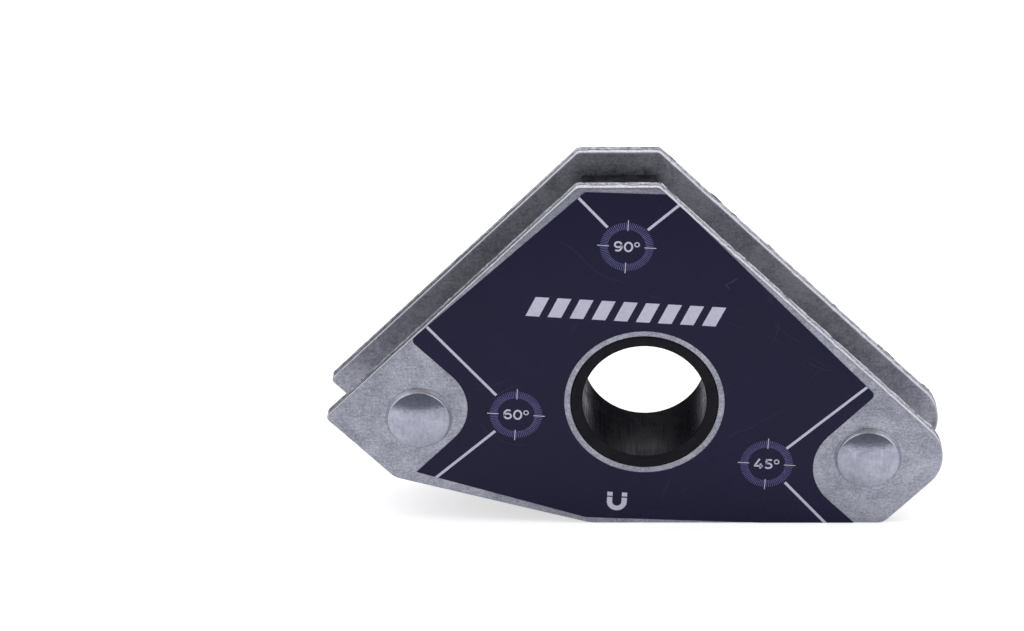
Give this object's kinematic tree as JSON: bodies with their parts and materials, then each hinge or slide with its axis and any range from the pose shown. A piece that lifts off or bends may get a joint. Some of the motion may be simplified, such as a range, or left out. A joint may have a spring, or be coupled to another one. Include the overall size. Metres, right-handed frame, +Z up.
{
  "type": "welding magnet holder",
  "caption": "Multi-angle magnetic welding holder: arrow-shaped steel plates riveted over ferrite blocks, with a finger hole and 90, 60 and 45 degree working edges.",
  "frame": {"origin": "under the middle of the overall length and thickness, on the plane of the base edges", "axes": "+X along the length towards the rounded end, +Y through the thickness away from the front label, +Z up from the base edge to the top flat"},
  "size_m": [0.1096, 0.021, 0.0667],
  "materials": {
    "plate_steel": "satin",
    "label_film": "satin",
    "sleeve_plastic": "satin",
    "ferrite": "matte",
    "rivet_steel": "satin",
    "spacer_steel": "satin"
  },
  "bodies": {
    "root": {"front_plate": "plate_steel", "back_plate": "plate_steel", "front_label": "label_film", "back_label": "label_film", "hole_sleeve": "sleeve_plastic", "top_magnet": "ferrite", "left_magnet": "ferrite", "right_magnet": "ferrite", "left_rivet": "rivet_steel", "right_rivet": "rivet_steel", "left_spacer": "spacer_steel", "right_spacer": "spacer_steel"}
  },
  "joints": []
}
